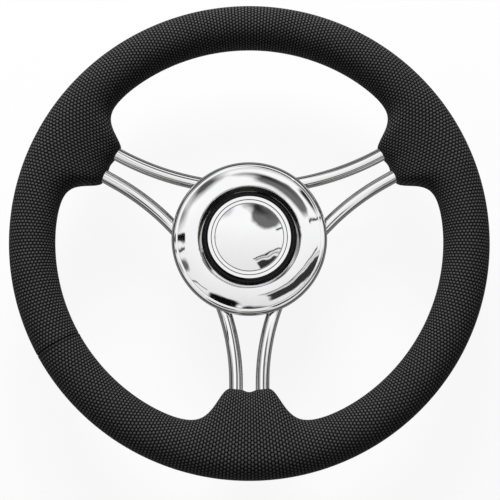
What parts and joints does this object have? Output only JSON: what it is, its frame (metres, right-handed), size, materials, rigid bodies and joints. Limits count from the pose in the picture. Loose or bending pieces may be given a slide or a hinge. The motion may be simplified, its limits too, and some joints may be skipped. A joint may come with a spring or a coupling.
{
  "type": "boat steering wheel",
  "caption": "Round boat steering wheel with a moulded textured grip, paired bent bright spoke bars joined by lugs, a ring-shaped hub cover, a domed centre cap and a tapered shaft boss.",
  "frame": {"origin": "centre of the hub's rear face, on the shaft axis", "axes": "+Z along the shaft towards the driver, +Y to the top of the wheel, the single spoke at -Y"},
  "size_m": [0.35, 0.35, 0.0827],
  "materials": {
    "grip": "fine raised bumps, satin",
    "bright": "mirror polished",
    "steel": "plain machined",
    "weld": "as welded",
    "boss": "turned",
    "seal": "smooth"
  },
  "bodies": {
    "root": {"grip": "grip", "rim_core": "steel", "spoke_bar_top": "bright", "spoke_bar_left": "bright", "spoke_bar_right": "bright", "hub_plate": "steel", "plate_welds": "weld", "hub_boss": "boss", "boss_screws": "steel", "boss_washers": "steel", "cover_posts": "steel", "cover_screws": "steel", "cover_washers": "steel", "hub_cover": "bright", "cap_bezel": "bright", "cap_dome": "bright", "cap_o_ring": "seal"}
  },
  "joints": []
}
